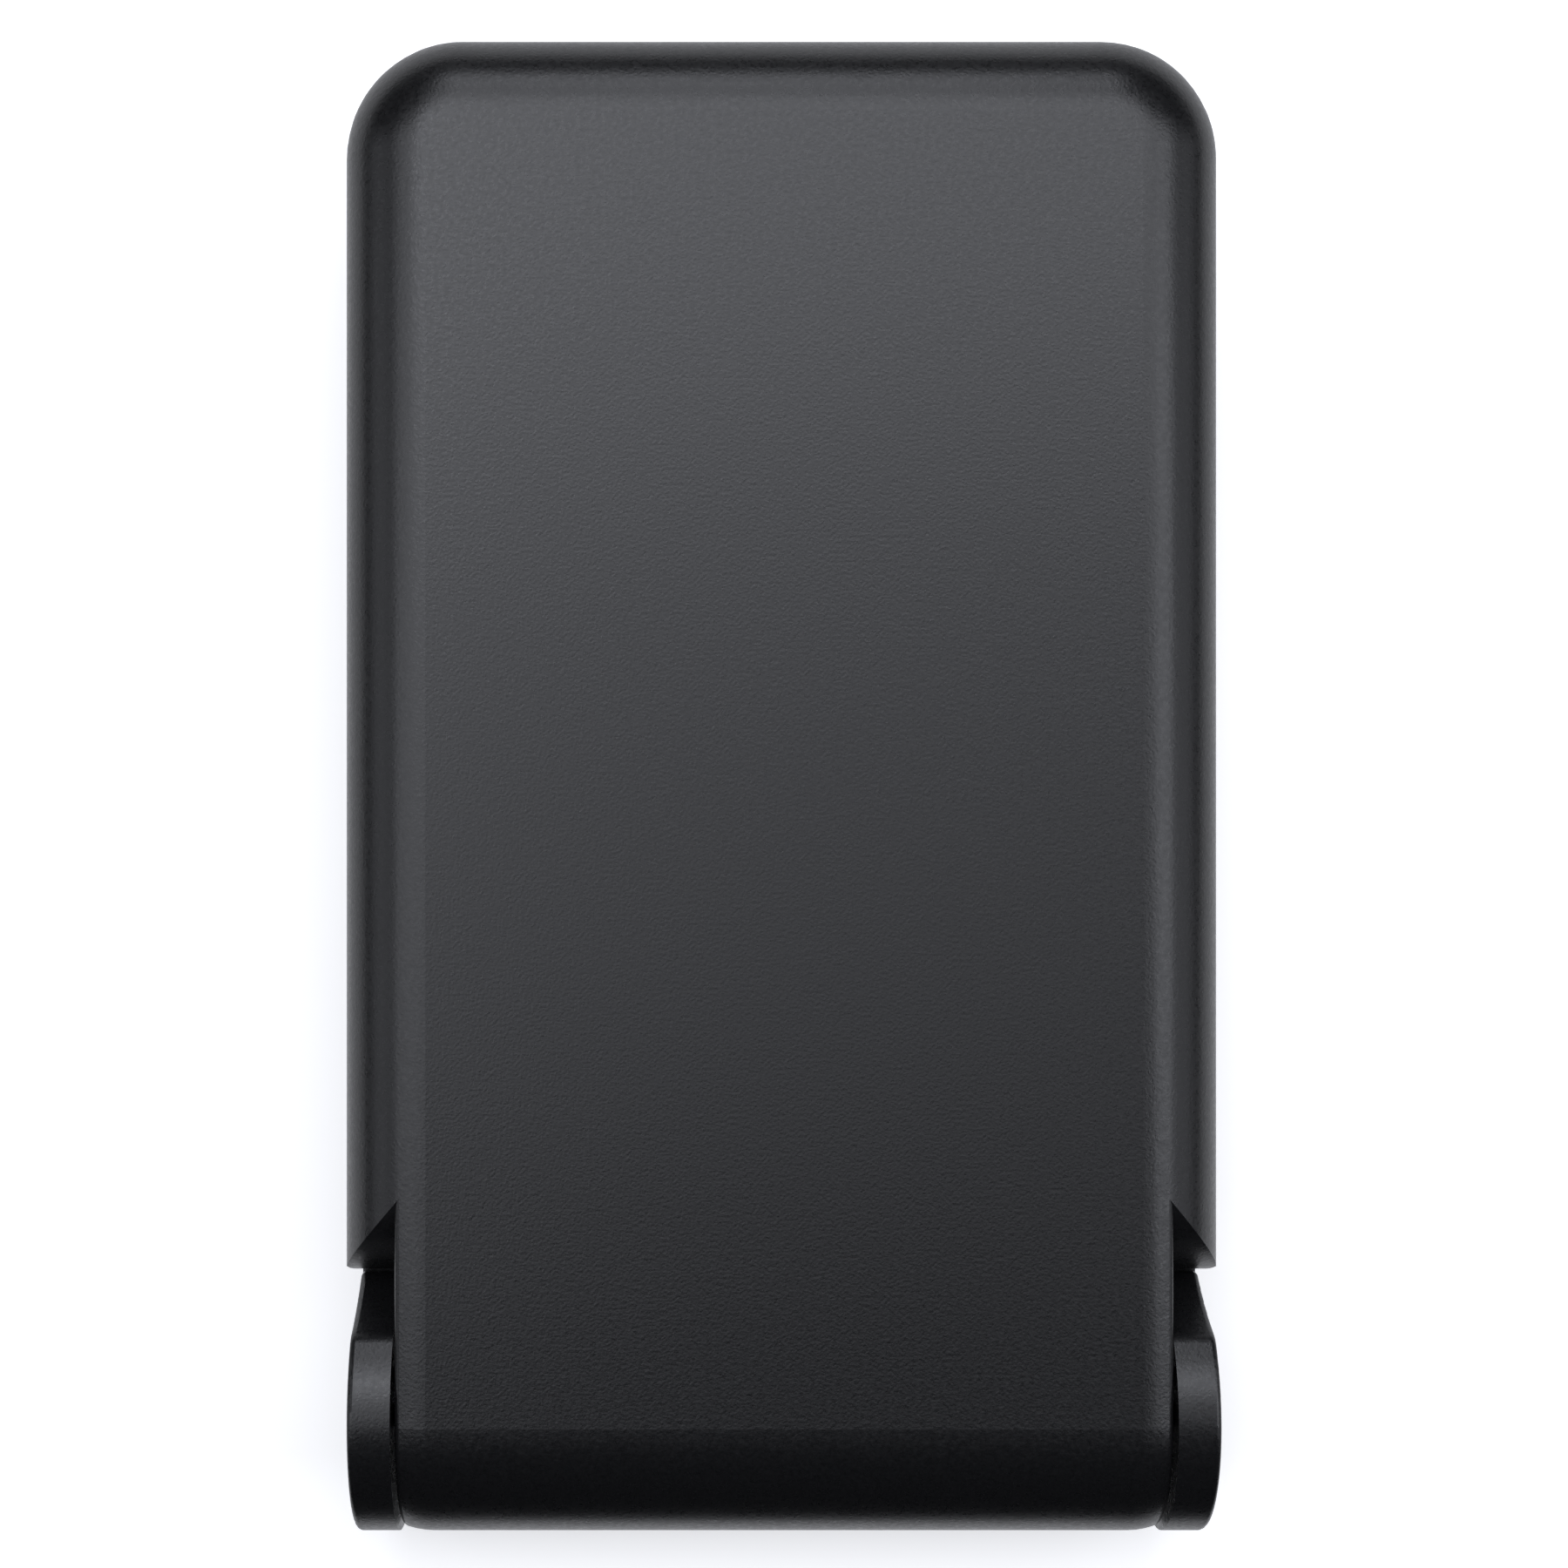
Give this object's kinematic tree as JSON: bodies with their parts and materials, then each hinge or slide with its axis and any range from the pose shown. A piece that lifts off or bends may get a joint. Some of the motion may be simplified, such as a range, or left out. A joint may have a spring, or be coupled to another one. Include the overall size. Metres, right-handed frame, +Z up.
{
  "type": "folding phone stand",
  "caption": "Folding desk stand for a phone: a weighted base and a backrest on a full-width friction hinge, with a flip-up ledge that stops the phone's lower edge.",
  "frame": {"origin": "middle of the folded stand's outline, on the surface that it lies on", "axes": "+X along the hinge axis, +Y from the hinge towards the far end, +Z up out of the backrest's outer face"},
  "size_m": [0.07, 0.1204, 0.0216],
  "materials": {
    "casing_plastic": "fine spark-eroded matte",
    "cover_plastic": "fine matte",
    "ledge_plastic": "fine matte",
    "silicone": "soft matte silicone",
    "foot_rubber": "matte anti-slip rubber",
    "ballast_steel": "zinc plated sheet",
    "hinge_steel": "turned and stamped",
    "washer_brass": "stamped",
    "spring_steel": "hardened",
    "screw_steel": "black oxide"
  },
  "bodies": {
    "base": {"base_shell": "casing_plastic", "base_cover": "cover_plastic", "ballast_plate": "ballast_steel", "foot_pad": "foot_rubber", "base_screws": "screw_steel", "phone_rest_pad": "silicone", "ledge_pin": "hinge_steel", "hinge_shaft_right": "hinge_steel", "hinge_shaft_left": "hinge_steel", "ear_cap_right": "casing_plastic", "ear_cap_left": "casing_plastic", "friction_washers_right": "washer_brass", "friction_washers_left": "washer_brass", "disc_springs_right": "spring_steel", "disc_springs_left": "spring_steel", "lock_nut_right": "hinge_steel", "lock_nut_left": "hinge_steel"},
    "backrest": {"backrest_shell": "casing_plastic", "backrest_cover": "cover_plastic", "backrest_pad": "silicone", "backrest_screws": "screw_steel", "hinge_bracket_right": "hinge_steel", "hinge_bracket_left": "hinge_steel", "bracket_screws": "screw_steel"},
    "ledge": {"ledge_flap": "ledge_plastic", "ledge_grip": "silicone"}
  },
  "joints": [
    {"name": "backrest_hinge", "type": "hinge", "parent": "base", "child": "backrest", "pos_m": [0, -0.04975, 0.0111], "axis": [1, 0, 0], "range_deg": [0, 135]},
    {"name": "ledge_hinge", "type": "hinge", "parent": "base", "child": "ledge", "pos_m": [0, -0.02135, 0.00965], "axis": [1, 0, 0], "range_deg": [0, 90]}
  ]
}
